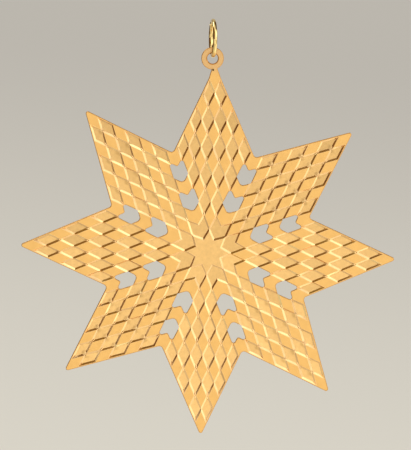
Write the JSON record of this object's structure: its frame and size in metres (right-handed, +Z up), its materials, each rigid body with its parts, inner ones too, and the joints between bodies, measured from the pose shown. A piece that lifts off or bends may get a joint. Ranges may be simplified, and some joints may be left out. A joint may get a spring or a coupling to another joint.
{
  "type": "star ornament",
  "caption": "Flat gold-plated star with diamond tiles sunk into its front, chevron cut-outs and an eye on its top point, hung on a split jump ring.",
  "frame": {"origin": "hang point: the inside of the jump ring's top, where a hook or a cord bears", "axes": "+Z up, -Y out of the star's tiled front, +X to the right as seen from the front"},
  "size_m": [0.0768, 0.008, 0.0869],
  "materials": {
    "satin_gold_plate": "satin gold plate over etched brass sheet, bright on the slopes round the sunk tiles",
    "polished_gold_wire": "polished gold-plated round wire"
  },
  "bodies": {
    "jump_ring": {"jump_ring": "polished_gold_wire"},
    "star_plate": {"star_plate": "satin_gold_plate"}
  },
  "joints": [
    {"name": "swing", "type": "hinge", "parent": "jump_ring", "child": "star_plate", "pos_m": [0, 0, -0.00665], "axis": [0, 1, 0], "range_deg": [-150, 150]}
  ]
}
